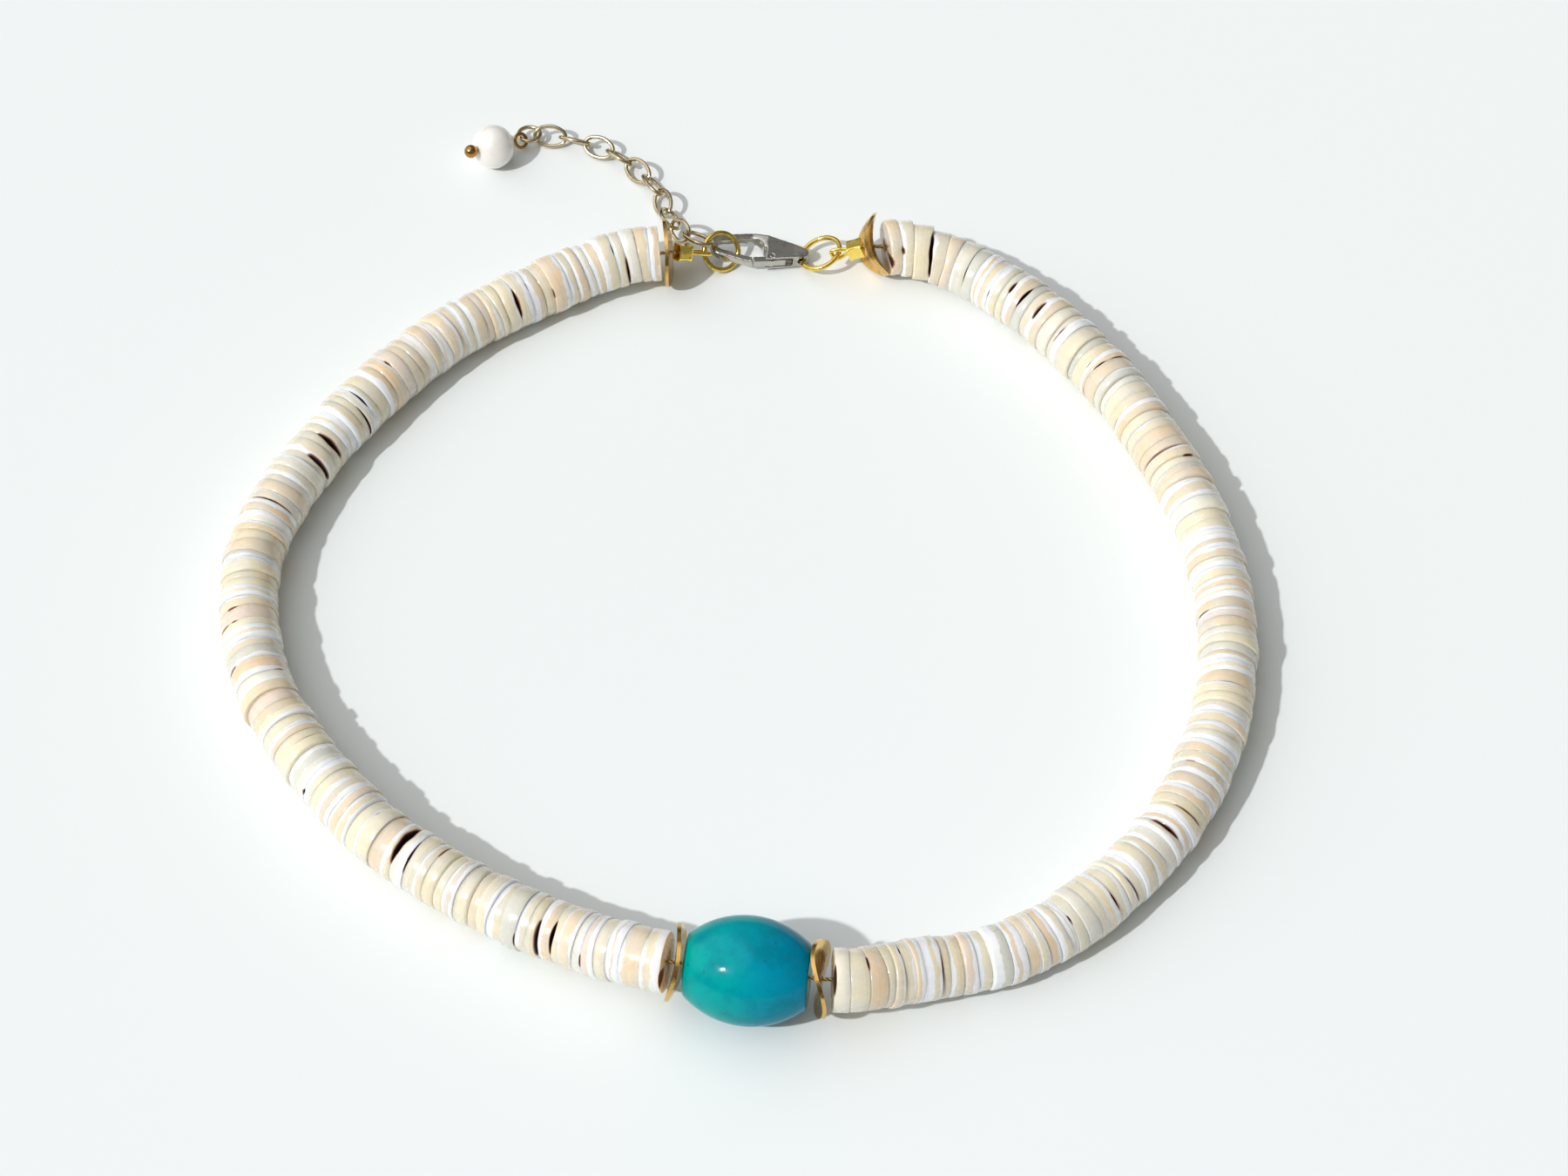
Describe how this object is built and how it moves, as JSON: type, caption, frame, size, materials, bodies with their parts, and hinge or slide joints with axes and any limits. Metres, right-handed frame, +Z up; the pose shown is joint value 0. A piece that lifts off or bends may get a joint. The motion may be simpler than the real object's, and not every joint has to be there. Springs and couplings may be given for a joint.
{
  "type": "shell disc necklace",
  "caption": "Closed choker of drilled shell discs with a blue barrel stone, wavy gold-tone discs, a lobster clasp and an extension chain with a pearl drop.",
  "frame": {"origin": "middle of the neck loop, on the surface that the necklace lies on", "axes": "+Z up out of the surface, +Y from the stone towards the clasp, +X to the right as the stone faces the viewer"},
  "size_m": [0.1398, 0.1602, 0.0138],
  "materials": {
    "shell": "polished",
    "blue_stone": "polished",
    "gold": "polished",
    "clasp_metal": "polished",
    "chain_metal": "polished",
    "pin_metal": "polished",
    "pearl": "nacre",
    "beading_wire": "coated"
  },
  "bodies": {
    "necklace": {"beading_wire": "beading_wire", "chain_end_ring": "chain_metal", "chain_link_01": "chain_metal", "chain_link_02": "chain_metal", "chain_link_03": "chain_metal", "chain_link_04": "chain_metal", "chain_link_05": "chain_metal", "chain_link_06": "chain_metal", "chain_link_07": "chain_metal", "chain_link_08": "chain_metal", "chain_link_09": "chain_metal", "chain_link_10": "chain_metal", "clasp_body": "clasp_metal", "clasp_pin": "clasp_metal", "crimp_left": "gold", "crimp_right": "gold", "head_pin": "pin_metal", "jump_ring_left": "gold", "jump_ring_right": "gold", "pearl": "pearl", "shell_string_left": "shell", "shell_string_right": "shell", "stone_barrel": "blue_stone", "wavy_disc_end_left": "gold", "wavy_disc_end_right": "gold", "wavy_disc_stone_left": "gold", "wavy_disc_stone_right": "gold", "wire_guard_left": "gold", "wire_guard_right": "gold"},
    "lever": {"clasp_lever": "clasp_metal"}
  },
  "joints": [
    {"name": "lever_hinge", "type": "hinge", "parent": "necklace", "child": "lever", "pos_m": [0.00483, 0.06237, 0.00169], "axis": [-0.0782, 0.0068, -0.9969], "range_deg": [0, 25], "stiffness_Nm_per_rad": 0.004, "springref_deg": -11.46}
  ]
}
